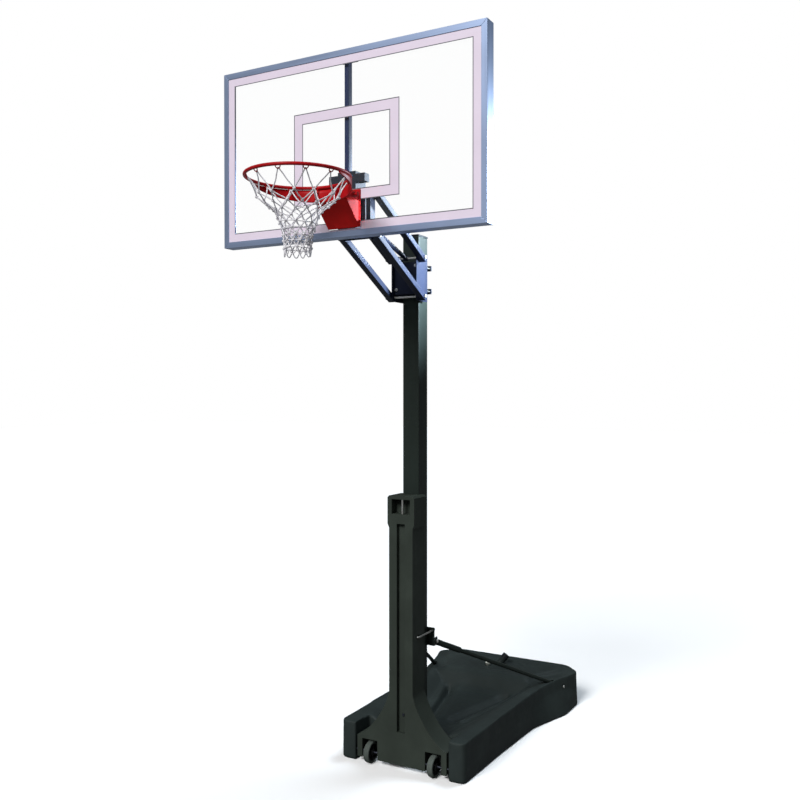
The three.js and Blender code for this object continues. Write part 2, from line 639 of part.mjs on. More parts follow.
function buildLiftStrut() {
  const root = at(0, PIVOT_Y, PIVOT_LOW + PIVOT_SPACING);
  const lug = at(0, BOARD_PIVOT_Y, BOARD_PIVOT_LOW + LUG_RISE);
  const axis = lug.clone().sub(root).normalize();
  const step = (distance) => along(root, axis, distance);
  const total = lug.distanceTo(root);
  const cylinder = without(
    joined(
      rodX(-11, 11, root.y, root.z, 13),
      rod(step(8), step(30), 9, 12),
      rod(step(28), step(CYLINDER_LENGTH), CYLINDER_RADIUS),
    ),
    rodX(-20, 20, root.y, root.z, PIN_RADIUS + GAP),
    rod(step(44), step(CYLINDER_LENGTH + 5), ROD_RADIUS + 1, 12),
  );
  addPart('lift_cylinder', cylinder, BLACK_STEEL);
  const ramLength = 300;
  const ram = joined(
    rod(step(total - ramLength), step(total - 4), ROD_RADIUS, 12),
    rodX(-7, 7, lug.y, lug.z, 12),
  );
  addPart('lift_rod', ram, ZINC);
}

// ---------- board ----------

// One side of the frame: a channel section [inset, depth], swept with mitred ends.
function frameBar(length, quarterTurns, distance) {
  const lip = FRAME_LIP;
  const groove = lip + GLASS_THICKNESS + 1.6;
  const section = [
    [0, 0], [FRAME_FACE, 0], [FRAME_FACE, lip], [4, lip], [4, groove], [FRAME_FACE, groove],
    [FRAME_FACE, groove + 3.5], [4, groove + 3.5], [4, FRAME_DEPTH - 3.5], [22, FRAME_DEPTH - 3.5],
    [22, FRAME_DEPTH], [0, FRAME_DEPTH],
  ];
  const shape = new THREE.Shape(section.map(([d, depth]) => new THREE.Vector2(d, depth)));
  const geometry = new THREE.ExtrudeGeometry(shape, { depth: 1, bevelEnabled: false });
  const position = geometry.attributes.position;
  for (let i = 0; i < position.count; i += 1) {
    const inset = position.getX(i);
    const depth = position.getY(i);
    const end = 1 - position.getZ(i) * 2;
    position.setXYZ(i, end * (length / 2 - inset - GAP / 2), BOARD_FACE_Y + depth, inset - distance);
  }
  geometry.rotateY(quarterTurns * Math.PI / 2);
  geometry.translate(0, 0, BOARD_BOTTOM + BOARD_HEIGHT / 2);
  return solidOf(geometry);
}

// A flat rectangular outline of white print.
function stripe(halfWidth, bottom, top, line, y) {
  return without(
    box(-halfWidth, halfWidth, y - STRIPE_THICKNESS, y, bottom, top),
    box(-halfWidth + line, halfWidth - line, y - 5, y + 5, bottom + line, top - line),
  );
}

const GLASS_FRONT = BOARD_FACE_Y + FRAME_LIP + 0.7;
const GLASS_BACK = GLASS_FRONT + GLASS_THICKNESS;

function buildBoard() {
  addPart('frame_bottom', frameBar(BOARD_WIDTH, 0, BOARD_HEIGHT / 2), ALUMINIUM);
  addPart('frame_top', frameBar(BOARD_WIDTH, 2, BOARD_HEIGHT / 2), ALUMINIUM);
  addPart('frame_left', frameBar(BOARD_HEIGHT, 1, BOARD_WIDTH / 2), ALUMINIUM);
  addPart('frame_right', frameBar(BOARD_HEIGHT, 3, BOARD_WIDTH / 2), ALUMINIUM);

  const half = BOARD_WIDTH / 2;
  const top = BOARD_BOTTOM + BOARD_HEIGHT;
  const glassHalf = half - GLASS_EDGE;
  const glass = without(
    box(-glassHalf, glassHalf, GLASS_FRONT, GLASS_BACK, BOARD_BOTTOM + GLASS_EDGE, top - GLASS_EDGE),
    ...plateBolts().map(([x, z]) => rodY(x, GLASS_FRONT - 5, GLASS_BACK + 5, z, 6.5, 12)),
  );
  addPart('backboard_glass', glass, GLASS);
  const edge = FRAME_FACE + GAP;
  const printY = GLASS_FRONT - 0.3;
  const behindMount = box(-HOUSING_HALF - 1, HOUSING_HALF + 1, printY - 5, printY + 5,
    HOUSING_BOTTOM - 3, MOUNT_TOP + 1);
  const border = stripe(half - edge, BOARD_BOTTOM + edge, top - edge, BORDER_INSET - edge, printY);
  addPart('border_print', without(border, behindMount), WHITE_PRINT);
  const target = stripe(TARGET_WIDTH / 2, TARGET_BOTTOM, TARGET_BOTTOM + TARGET_HEIGHT, TARGET_LINE, printY);
  addPart('target_print', without(target, behindMount), WHITE_PRINT);
}

// Where the rim's four bolts pass through the glass.
const plateBolts = () => [[-63.5, 2925], [63.5, 2925], [-63.5, 3027], [63.5, 3027]];

const CARRIER_FRONT = GLASS_BACK + GAP;
const CARRIER_BACK = -600;
const CARRIER_HALF = 52;

function buildCarrier() {
  const bottom = BOARD_BOTTOM + FRAME_FACE + 6;
  const carrierTop = 3146;
  const channel = without(
    joined(
      box(-CARRIER_HALF, CARRIER_HALF, CARRIER_FRONT, CARRIER_BACK, bottom, carrierTop),
      box(-108, 108, CARRIER_FRONT, CARRIER_FRONT + 8, 2900, 3050),
      box(-104, 104, CARRIER_FRONT, CARRIER_FRONT + 42, 3092, 3132),
    ),
    box(-CARRIER_HALF + 5, CARRIER_HALF - 5, CARRIER_FRONT + 8, CARRIER_BACK - 5, bottom - 5, carrierTop + 5),
    ...plateBolts().map(([x, z]) => rodY(x, CARRIER_FRONT - 5, CARRIER_FRONT + 20, z, 6.5, 12)),
  );
  addPart('carrier_channel', channel, BLACK_STEEL);

  const webFront = CARRIER_BACK + GAP;
  const high = BOARD_PIVOT_LOW + PIVOT_SPACING;
  const outline = cheekOutline(webFront, BOARD_PIVOT_Y + 22, BOARD_PIVOT_LOW - 20, high + 22, 2);
  const lugZ = BOARD_PIVOT_LOW + LUG_RISE;
  const lugOutline = cheekOutline(webFront + 2, BOARD_PIVOT_Y + 20, lugZ - 20, lugZ + 20, 2);
  const bracket = without(
    joined(
      prismX(outline, -CHEEK_X, -CHEEK_X + CHEEK_PLATE),
      prismX(outline, CHEEK_X - CHEEK_PLATE, CHEEK_X),
      box(-CHEEK_X + 1, CHEEK_X - 1, webFront, webFront + CHEEK_PLATE, BOARD_PIVOT_LOW - 18, high + 20),
      prismX(lugOutline, -16, -9),
      prismX(lugOutline, 9, 12),
    ),
    rodX(-100, 100, BOARD_PIVOT_Y, BOARD_PIVOT_LOW, PIN_RADIUS + GAP),
    rodX(-100, 100, BOARD_PIVOT_Y, high, PIN_RADIUS + GAP),
    box(-8.9, 8.9, webFront - 5, webFront + 30, lugZ - 32, lugZ + 32),
  );
  addPart('pivot_bracket', bracket, BLACK_STEEL);
  addPart('board_pin_lower', pivotPin(BOARD_PIVOT_Y, BOARD_PIVOT_LOW), ZINC);
  addPart('board_pin_upper', pivotPin(BOARD_PIVOT_Y, high), ZINC);

  const spineBack = CARRIER_FRONT + 32;
  const spineTop = BOARD_BOTTOM + BOARD_HEIGHT - FRAME_FACE - 2;
  const spine = without(
    box(-12.5, 12.5, CARRIER_FRONT, spineBack, carrierTop + GAP, spineTop),
    box(-9.5, 9.5, CARRIER_FRONT + 3, spineBack - 3, carrierTop - 5, spineTop + 5),
  );
  addPart('spine_tube', spine, BLUE_STEEL);
  const clip = joined(
    box(-45, 45, spineBack + GAP, spineBack + 5, spineTop - 22, spineTop + 22),
    box(-45, 45, spineBack + GAP, BOARD_FACE_Y + FRAME_DEPTH - 4, spineTop + 3, spineTop + 8),
  );
  addPart('spine_clip', clip, BLACK_STEEL);
}

// ---------- breakaway rim ----------

const PLATE_FRONT = GLASS_FRONT - 6;
const NOSE_Y = BOARD_FACE_Y - 122;
const NOSE_Z = 2984;

function buildRimMount() {
  const cheek = [[PLATE_FRONT + 1, HOUSING_BOTTOM + 6], [PLATE_FRONT - 8, HOUSING_BOTTOM + 6],
    [NOSE_Y + 8, NOSE_Z - 4], [NOSE_Y + 8, NOSE_Z + 6], [RIM_PIN_Y - 16, RIM_PIN_Z + 10],
    [PLATE_FRONT + 1, RIM_PIN_Z + 10]];
  const cheekOut = HOUSING_HALF - 5;
  const mount = without(
    joined(
      box(-HOUSING_HALF, HOUSING_HALF, PLATE_FRONT, GLASS_FRONT - GAP, HOUSING_BOTTOM, MOUNT_TOP),
      prismX(cheek, -cheekOut, -cheekOut + 5),
      prismX(cheek, cheekOut - 5, cheekOut),
      box(-cheekOut + 1, cheekOut - 1, NOSE_Y + 18, RIM_PIN_Y - 6, 2970, 2975),
    ),
    rodX(-100, 100, RIM_PIN_Y, RIM_PIN_Z, RIM_PIN_RADIUS + GAP, 12),
    ...plateBolts().map(([x, z]) => rodY(x, PLATE_FRONT - 5, GLASS_FRONT + 5, z, 6.5, 12)),
  );
  addPart('rim_mount', mount, RIM_RED);

  const outer = [[PLATE_FRONT - GAP, HOUSING_BOTTOM - 2], [PLATE_FRONT - 9, HOUSING_BOTTOM - 2],
    [NOSE_Y, NOSE_Z - 4], [NOSE_Y, NOSE_Z + 8], [PLATE_FRONT - GAP, NOSE_Z + 8]];
  const hollow = [[PLATE_FRONT + 9, HOUSING_BOTTOM + 1], [PLATE_FRONT - 8, HOUSING_BOTTOM + 1.5],
    [NOSE_Y + 3, NOSE_Z - 2.5], [NOSE_Y + 3, NOSE_Z + 20], [PLATE_FRONT + 9, NOSE_Z + 20]];
  const cover = without(
    prismX(outer, -HOUSING_HALF, HOUSING_HALF),
    prismX(hollow, -HOUSING_HALF + 3, HOUSING_HALF - 3),
  );
  addPart('rim_cover', cover, RIM_RED);

  const pinEnd = HOUSING_HALF + 7;
  const pin = joined(
    rodX(-pinEnd, pinEnd, RIM_PIN_Y, RIM_PIN_Z, RIM_PIN_RADIUS, 12),
    rodX(pinEnd - 1, pinEnd + 6, RIM_PIN_Y, RIM_PIN_Z, 12, 12),
  );
  addPart('rim_hinge_pin', pin, RIM_RED);
  plateBolts().forEach(([x, z], index) => {
    const bolt = joined(
      hexBolt(at(x, PLATE_FRONT - GAP, z), Y_AXIS, 9, 46),
      rodY(x, CARRIER_FRONT + 8 + GAP, CARRIER_FRONT + 18, z, 10, 6),
    );
    addPart(`rim_bolt_${index + 1}`, bolt, BLACK_STEEL);
  });
  for (const [name, x] of [['left', -40], ['right', 40]]) {
    addPart(`rim_spring_${name}`, spring(x, RIM_PIN_Y - 34, 2975 + 2, RIM_HEIGHT - 16 - 4), ZINC);
  }
}

function spring(x, y, bottom, top) {
  const wire = 1.6;
  const turns = 5;
  const points = [];
  const steps = turns * 9;
  for (let i = 0; i <= steps; i += 1) {
    const angle = (i / steps) * turns * Math.PI * 2;
    const z = bottom + wire + (top - bottom - 2 * wire) * (i / steps);
    points.push(at(x + 11 * Math.cos(angle), y + 11 * Math.sin(angle), z));
  }
  return sweep(new THREE.CatmullRomCurve3(points), wire, steps, 6);
}

function buildRim() {
  const centreY = BOARD_FACE_Y - RING_REACH;
  const radius = RING_INNER_RADIUS + RING_ROD_RADIUS;
  const ringZ = RIM_HEIGHT - RING_ROD_RADIUS;
  const torus = new THREE.TorusGeometry(radius, RING_ROD_RADIUS, 10, 48);
  torus.translate(0, centreY, ringZ);
  const hooks = [];
  for (let i = 0; i < NET_HOOKS; i += 1) {
    const angle = ((i + 0.5) / NET_HOOKS) * Math.PI * 2;
    const [c, s] = [Math.cos(angle), Math.sin(angle)];
    const spread = 11;
    const inner = radius - 9;
    const foot = (sign, r, z) => at(c * r - s * spread * sign, centreY + s * r + c * spread * sign, z);
    const low = ringZ - RING_ROD_RADIUS - 9;
    hooks.push(rod(foot(-1, radius - 3, ringZ - 4), foot(-0.8, inner + 4, low), 2.4, 4));
    hooks.push(rod(foot(1, radius - 3, ringZ - 4), foot(0.8, inner + 4, low), 2.4, 4));
    hooks.push(rod(foot(-1.05, inner + 4, low), foot(1.05, inner + 4, low), 2.4, 4));
  }
  addPart('rim_ring', joined(solidOf(torus), ...hooks), RIM_RED);

  const braceTop = ringZ - RING_ROD_RADIUS - GAP;
  const steps = 24;
  const profile = [];
  for (let i = 0; i <= steps; i += 1) {
    profile.push(-BRACE_ARC + (2 * BRACE_ARC * i) / steps);
  }
  addPart('rim_brace', braceBand(profile, radius + 4.5, centreY, braceTop), RIM_RED);

  const neckBack = RIM_PIN_Y + 26;
  const neckFront = centreY + radius + RING_ROD_RADIUS + GAP;
  const neckTop = RIM_HEIGHT - 10;
  const hub = box(-74, 74, neckFront, neckBack, neckTop - 6, neckTop);
  const flange = [[neckFront, neckTop - 1], [neckFront, neckTop - 20], [RIM_PIN_Y - 12, RIM_PIN_Z - 13],
    [RIM_PIN_Y + 10, RIM_PIN_Z - 13], [RIM_PIN_Y + 14, neckTop - 1]];
  const neck = without(
    joined(hub, prismX(flange, -74, -69), prismX(flange, 69, 74)),
    rodX(-100, 100, RIM_PIN_Y, RIM_PIN_Z, RIM_PIN_RADIUS + GAP, 12),
  );
  addPart('rim_neck', neck, RIM_RED);
}

// A band under the rear of the ring that grows deeper towards the board.
function braceBand(angles, radius, centreY, top) {
  const half = 2.5;
  const positions = [];
  const stations = angles.map((angle) => {
    const depth = 6 + (BRACE_HEIGHT - 6) * Math.cos((angle / BRACE_ARC) * Math.PI * 0.5) ** 0.8;
    const spot = (r, z) => [Math.sin(angle) * r, centreY + Math.cos(angle) * r, z];
    return [
      spot(radius - half, top - depth), spot(radius + half, top - depth),
      spot(radius + half, top), spot(radius - half, top),
    ];
  });
  for (let i = 0; i + 1 < stations.length; i += 1) {
    for (let k = 0; k < 4; k += 1) {
      const [a, b] = [stations[i][k], stations[i][(k + 1) % 4]];
      const [c, d] = [stations[i + 1][k], stations[i + 1][(k + 1) % 4]];
      positions.push(...a, ...b, ...c, ...b, ...d, ...c);
    }
  }
  const [first, last] = [stations[0], stations[stations.length - 1]];
  positions.push(...first[0], ...first[2], ...first[1], ...first[0], ...first[3], ...first[2]);
  positions.push(...last[0], ...last[1], ...last[2], ...last[0], ...last[2], ...last[3]);
  const geometry = new THREE.BufferGeometry();
  geometry.setAttribute('position', new THREE.Float32BufferAttribute(positions, 3));
  return solidOf(geometry);
}

function buildNet() {
  const centreY = BOARD_FACE_Y - RING_REACH;
  const top = RIM_HEIGHT - 32;
  const outline = [[222, 0], [190, 62], [141, 106], [100, 142], [85, 186], [68, 232], [64, NET_LENGTH]];
  const outer = outline.map(([r, drop]) => new THREE.Vector2(r, top - drop));
  const inner = outline.map(([r, drop]) => new THREE.Vector2(r - 5, top - drop)).reverse();
  const net = new THREE.LatheGeometry([...outer, ...inner, outer[0].clone()].reverse(), 20);
  net.rotateX(Math.PI / 2);
  net.translate(0, centreY, 0);
  addPart('net', solidOf(net), WHITE_CORD);
}

buildBase();
buildMast();
buildShroud();
buildWheels();
buildStays();
buildMastHead();
buildArms();
buildLiftStrut();
buildBoard();
buildCarrier();
buildRimMount();
buildRim();
buildNet();

export default hoop;
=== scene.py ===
"""Looks of the portable basketball hoop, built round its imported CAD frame.

Metres, +Z up, the board faces -Y.
"""

import math

import bmesh
import bpy
import numpy as np
from mathutils import Matrix, Vector, noise


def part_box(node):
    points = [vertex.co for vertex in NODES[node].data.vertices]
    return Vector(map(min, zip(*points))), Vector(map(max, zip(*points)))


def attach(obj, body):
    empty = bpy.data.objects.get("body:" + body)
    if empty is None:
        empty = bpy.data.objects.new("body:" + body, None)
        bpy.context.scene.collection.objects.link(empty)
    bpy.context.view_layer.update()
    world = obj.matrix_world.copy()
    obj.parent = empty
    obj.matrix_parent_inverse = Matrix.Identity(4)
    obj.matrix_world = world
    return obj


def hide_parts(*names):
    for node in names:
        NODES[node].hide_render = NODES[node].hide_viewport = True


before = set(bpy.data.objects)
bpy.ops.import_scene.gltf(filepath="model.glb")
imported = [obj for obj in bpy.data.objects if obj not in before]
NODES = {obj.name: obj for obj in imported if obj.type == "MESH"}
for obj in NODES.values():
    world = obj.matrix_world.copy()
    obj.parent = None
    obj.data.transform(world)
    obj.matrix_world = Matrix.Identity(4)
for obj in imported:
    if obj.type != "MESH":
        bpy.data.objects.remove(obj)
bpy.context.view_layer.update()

MM = 0.001

# ---------- measures taken from the frame ----------

ring_low, ring_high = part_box("rim_ring")
RING_ROD = 0.008
RING_CENTRE = Vector((0, (ring_low.y + ring_high.y) / 2, ring_high.z - RING_ROD))
RING_RADIUS = (ring_high.x - ring_low.x) / 2 - RING_ROD
NET_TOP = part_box("net")[1].z
base_low, base_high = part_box("base_tank")
GLASS_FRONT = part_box("backboard_glass")[0].y
HOOKS = 12


# ---------- materials ----------

class Shader:
    """A small helper that adds and links nodes of one material."""

    def __init__(self, name):
        self.material = bpy.data.materials.new(name)
        self.material.use_nodes = True
        self.tree = self.material.node_tree
        self.surface = self.tree.nodes["Principled BSDF"]
        self.place = self.add("ShaderNodeTexCoord").outputs["Object"]

    def add(self, kind, **values):
        """A new node; each value goes to its setting of that name, or else to its input."""
        node = self.tree.nodes.new(kind)
        for key, value in values.items():
            if hasattr(node, key):
                setattr(node, key, value)
            else:
                node.inputs[key.replace("_", " ")].default_value = value
        return node

    def link(self, output, target):
        self.tree.links.new(output, target)

    def noise(self, scale, detail=3.0, stretch=(1, 1, 1)):
        """Noise in the object's own space, drawn out along an axis by a small stretch."""
        mapping = self.add("ShaderNodeMapping")
        mapping.inputs["Scale"].default_value = stretch
        self.link(self.place, mapping.inputs["Vector"])
        texture = self.add("ShaderNodeTexNoise", Scale=scale, Detail=detail)
        self.link(mapping.outputs["Vector"], texture.inputs["Vector"])
        return texture.outputs["Fac"]

    def ramp(self, factor, *stops):
        """Colour from stops of (place, colour) along a factor."""
        ramp = self.add("ShaderNodeValToRGB")
        elements = ramp.color_ramp.elements
        while len(elements) < len(stops):
            elements.new(0.5)
        for element, (position, colour) in zip(elements, stops):
            element.position = position
            element.color = (*colour, 1)
        self.link(factor, ramp.inputs["Fac"])
        return ramp.outputs["Color"]

    def span(self, factor, low, high):
        """A factor from 0 to 1 mapped to low to high."""
        mapped = self.add("ShaderNodeMapRange", To_Min=low, To_Max=high)
        self.link(factor, mapped.inputs["Value"])
        return mapped.outputs["Result"]

    def paint(self, factor, *stops):
        """Base colour from stops of (place, colour) along a factor."""
        self.link(self.ramp(factor, *stops), self.surface.inputs["Base Color"])

    def gloss(self, factor, low, high):
        """Roughness between two values along a factor."""
        self.link(self.span(factor, low, high), self.surface.inputs["Roughness"])

    def bump(self, *layers):
        """Layers of (height, strength, depth in metres), one on another."""
        normal = None
        for height, strength, depth in layers:
            bump = self.add("ShaderNodeBump", Strength=strength, Distance=depth)
            self.link(height, bump.inputs["Height"])
            if normal is not None:
                self.link(normal, bump.inputs["Normal"])
            normal = bump.outputs["Normal"]
        self.link(normal, self.surface.inputs["Normal"])

    def set(self, **values):
        """Values that are the same all over, set on the surface's own sockets."""
        for key, value in values.items():
            self.surface.inputs[key.replace("_", " ")].default_value = value


def tone(colour, factor):
    """A colour made lighter or darker."""
    return tuple(min(1.0, c * factor) for c in colour)


def moulded_plastic(name, colour, pebble=0.35, roughness=(0.48, 0.66)):
    """Rotomoulded or injection-moulded plastic with a pebble grain and faint cloudy tone."""
    s = Shader(name)
    s.paint(s.noise(5, 4), (0.3, tone(colour, 0.8)), (0.55, colour), (0.8, tone(colour, 1.3)))
    s.gloss(s.noise(24, 3), *roughness)
    s.bump((s.noise(9, 2), 0.12, 0.004), (s.noise(420, 2), pebble, 0.0006))
    s.set(Specular_IOR_Level=0.12)
    return s.material


def powder_coat(name, colour, roughness=(0.28, 0.42), peel=0.25, coat=0.25, specular=0.5):
    """Baked powder coat on steel: a fine orange peel and slight tone changes along the member."""
    s = Shader(name)
    drift = s.noise(3, 3, (3, 3, 0.7))
    s.paint(drift, (0.3, tone(colour, 0.78)), (0.6, colour), (0.85, tone(colour, 1.35)))
    s.gloss(s.noise(18, 2), *roughness)
    s.bump((s.noise(260, 2), peel, 0.0005))
    s.set(Metallic=0.0, Coat_Weight=coat, Coat_Roughness=0.2, Specular_IOR_Level=specular)
    return s.material


def plated_steel(name, colour=(0.6, 0.6, 0.57), roughness=(0.22, 0.42)):
    """Zinc plate or bare steel with a fine, uneven shine."""
    s = Shader(name)
    s.paint(s.noise(60, 3), (0.3, tone(colour, 0.8)), (0.7, tone(colour, 1.1)))
    s.gloss(s.noise(140, 2), *roughness)
    s.bump((s.noise(700, 2), 0.15, 0.0003))
    s.set(Metallic=1.0)
    return s.material


def brushed_aluminium(name, colour, stretch):
    """Extruded rail with die lines along it."""
    s = Shader(name)
    lines = s.noise(60, 4, stretch)
    s.paint(s.noise(3, 3), (0.3, tone(colour, 0.9)), (0.7, tone(colour, 1.08)))
    s.gloss(lines, 0.3, 0.46)
    s.bump((lines, 0.12, 0.0003))
    s.set(Metallic=0.75)
    return s.material


def clear_glass(name):
    """Tempered glass, seen mostly by its reflections."""
    s = Shader(name)
    s.paint(s.noise(2, 2), (0.3, (0.50, 0.58, 0.57)), (0.7, (0.54, 0.62, 0.60)))
    s.gloss(s.noise(4, 2), 0.02, 0.05)
    s.set(Alpha=0.02, Specular_IOR_Level=0.5, IOR=1.5)
    return s.material


def screen_print(name, colour):
    """Flat ink on the glass."""
    s = Shader(name)
    s.paint(s.noise(6, 3), (0.3, tone(colour, 0.97)), (0.7, tone(colour, 1.02)))
    s.gloss(s.noise(90, 2), 0.4, 0.55)
    s.bump((s.noise(900, 2), 0.1, 0.0002))
    return s.material


def braided_cord(name, colour):
    """Net cord with the weave of its braid."""
    s = Shader(name)
    s.paint(s.noise(90, 3), (0.3, tone(colour, 0.8)), (0.7, colour))
    weave = s.add("ShaderNodeTexWave", Scale=420.0, Distortion=3.0, Detail=2.0)
    s.link(s.place, weave.inputs["Vector"])
    s.bump((weave.outputs["Fac"], 0.5, 0.0008), (s.noise(900, 2), 0.3, 0.0004))
    s.set(Roughness=0.85, Sheen_Weight=0.3)
    return s.material


TANK = moulded_plastic("moulded_tank", (0.0185, 0.0250, 0.0240))
SHROUD = moulded_plastic("moulded_shroud", (0.0265, 0.0335, 0.0275), 0.3)
CAP_PLASTIC = moulded_plastic("moulded_cap", (0.012, 0.014, 0.016), 0.2, (0.35, 0.5))
TYRE = moulded_plastic("wheel_tread", (0.07, 0.083, 0.075), 0.5, (0.6, 0.8))
HUB = moulded_plastic("wheel_hub", (0.010, 0.011, 0.012), 0.3)
POLE_COAT = powder_coat("pole_coat", (0.0135, 0.0195, 0.0165), (0.36, 0.5), coat=0.0, specular=0.15)
ARM_COAT = powder_coat("arm_coat", (0.0085, 0.0115, 0.025), (0.34, 0.46), coat=0.0, specular=0.15)
SPINE_COAT = powder_coat("spine_coat", (0.007, 0.016, 0.072), (0.3, 0.42), coat=0.0, specular=0.18)
RIM_COAT = powder_coat("rim_coat", (0.40, 0.005, 0.008), (0.34, 0.46), coat=0.0, specular=0.12)
NECK_COAT = powder_coat("neck_coat", (0.85, 0.05, 0.025), (0.34, 0.46), coat=0.0, specular=0.12)
COVER_COAT = powder_coat("cover_coat", (0.56, 0.012, 0.010), (0.36, 0.5), coat=0.0, specular=0.06)
ZINC = plated_steel("zinc_plate")
PLUG_STEEL = plated_steel("plug_steel", (0.85, 0.87, 0.8), (0.4, 0.5))
DARK_BOLT = plated_steel("dark_bolt", (0.05, 0.055, 0.07), (0.35, 0.55))
RAIL_X = brushed_aluminium("rail_level", (0.30, 0.38, 0.56), (0.02, 1, 1))
RAIL_Z = brushed_aluminium("rail_upright", (0.30, 0.38, 0.56), (1, 1, 0.02))
GLASS = clear_glass("tempered_glass")
PRINT = screen_print("white_print", (0.70, 0.61, 0.72))
KEYLINE = screen_print("print_edge", (0.10, 0.10, 0.12))
CORD = braided_cord("net_braid", (0.82, 0.80, 0.84))


# ---------- CAD nodes that stay: edges, shading and finish ----------

WELD_DISTANCE = 2e-5
ROUNDED_ABOVE = math.radians(40)
NORMAL_WEIGHT = 80


def finish_node(name, material, edge):
    """Rounds a CAD node's edges by edge mm with modifiers and gives it its finish."""
    node = NODES[name]
    mesh = node.data
    if "custom_normal" in mesh.attributes:
        mesh.attributes.remove(mesh.attributes["custom_normal"])
    mesh.materials.clear()
    mesh.materials.append(material)
    mesh.shade_smooth()
    weld = node.modifiers.new("weld", "WELD")
    weld.merge_threshold = WELD_DISTANCE
    bevel = node.modifiers.new("round", "BEVEL")
    bevel.width = edge * MM
    bevel.segments = 2
    bevel.limit_method = "ANGLE"
    bevel.angle_limit = ROUNDED_ABOVE
    bevel.use_clamp_overlap = True
    weights = node.modifiers.new("normals", "WEIGHTED_NORMAL")
    weights.keep_sharp = False
    weights.weight = NORMAL_WEIGHT


# finish, edge radius in mm and the nodes that have them
FINISHES = [
    (POLE_COAT, 5.0, ["mast_pole"]),
    (CAP_PLASTIC, 1.5, ["mast_cap"]),
    (SHROUD, 3.0, ["mast_shroud"]),
    (ARM_COAT, 2.5, ["lower_arm_left", "lower_arm_right", "upper_arm_left", "upper_arm_right"]),
    (ARM_COAT, 1.2, ["head_bracket", "pivot_bracket", "carrier_channel", "clamp_bar_lower", "clamp_bar_upper",
                     "lift_cylinder", "spine_clip"]),
    (POLE_COAT, 1.2, ["stay_left", "stay_right", "stay_clamp_plate"]),
    (SPINE_COAT, 2.5, ["spine_tube"]),
    (ZINC, 1.0, ["stay_u_bolt", "stay_cross_bolt", "stay_bolt_left", "stay_bolt_right",
                 "clamp_bolt_lower_left", "clamp_bolt_lower_right", "clamp_bolt_upper_left",
                 "clamp_bolt_upper_right", "mast_pin_lower", "mast_pin_upper", "board_pin_lower",
                 "board_pin_upper", "lift_rod", "grab_bar", "rim_spring_left", "rim_spring_right"]),
    (DARK_BOLT, 1.0, ["wheel_axle", "rim_bolt_1", "rim_bolt_2", "rim_bolt_3", "rim_bolt_4", "shroud_bolt"]),
    (RAIL_X, 1.0, ["frame_bottom", "frame_top"]),
    (RAIL_Z, 1.0, ["frame_left", "frame_right"]),
    (GLASS, 0.8, ["backboard_glass"]),
    (PRINT, 0.1, ["border_print", "target_print"]),
    (RIM_COAT, 1.5, ["rim_mount", "rim_hinge_pin"]),
    (NECK_COAT, 1.5, ["rim_neck"]),
    (COVER_COAT, 3.0, ["rim_cover"]),
    (CAP_PLASTIC, 2.0, ["filler_cap"]),
]
for material, edge, names in FINISHES:
    for name in names:
        finish_node(name, material, edge)


# ---------- mesh helpers ----------

def piece(name, verts, faces, material, smooth=True):
    """A new object from vertices and faces, with one material."""
    mesh = bpy.data.meshes.new(name)
    mesh.from_pydata([tuple(v) for v in verts], [], faces)
    mesh.validate()
    mesh.update()
    obj = bpy.data.objects.new(name, mesh)
    bpy.context.scene.collection.objects.link(obj)
    obj.data.materials.append(material)
    if smooth:
        obj.data.shade_smooth()
    return obj


def modify(obj, kind, **values):
    """Adds a modifier with the given settings."""
    modifier = obj.modifiers.new(kind.lower(), kind)
    for key, value in values.items():
        setattr(modifier, key, value)


def apply_all(obj):
    """Replaces the mesh by the one its modifiers make."""
    graph = bpy.context.evaluated_depsgraph_get()
    made = bpy.data.meshes.new_from_object(obj.evaluated_get(graph))
    obj.modifiers.clear()
    obj.data = made


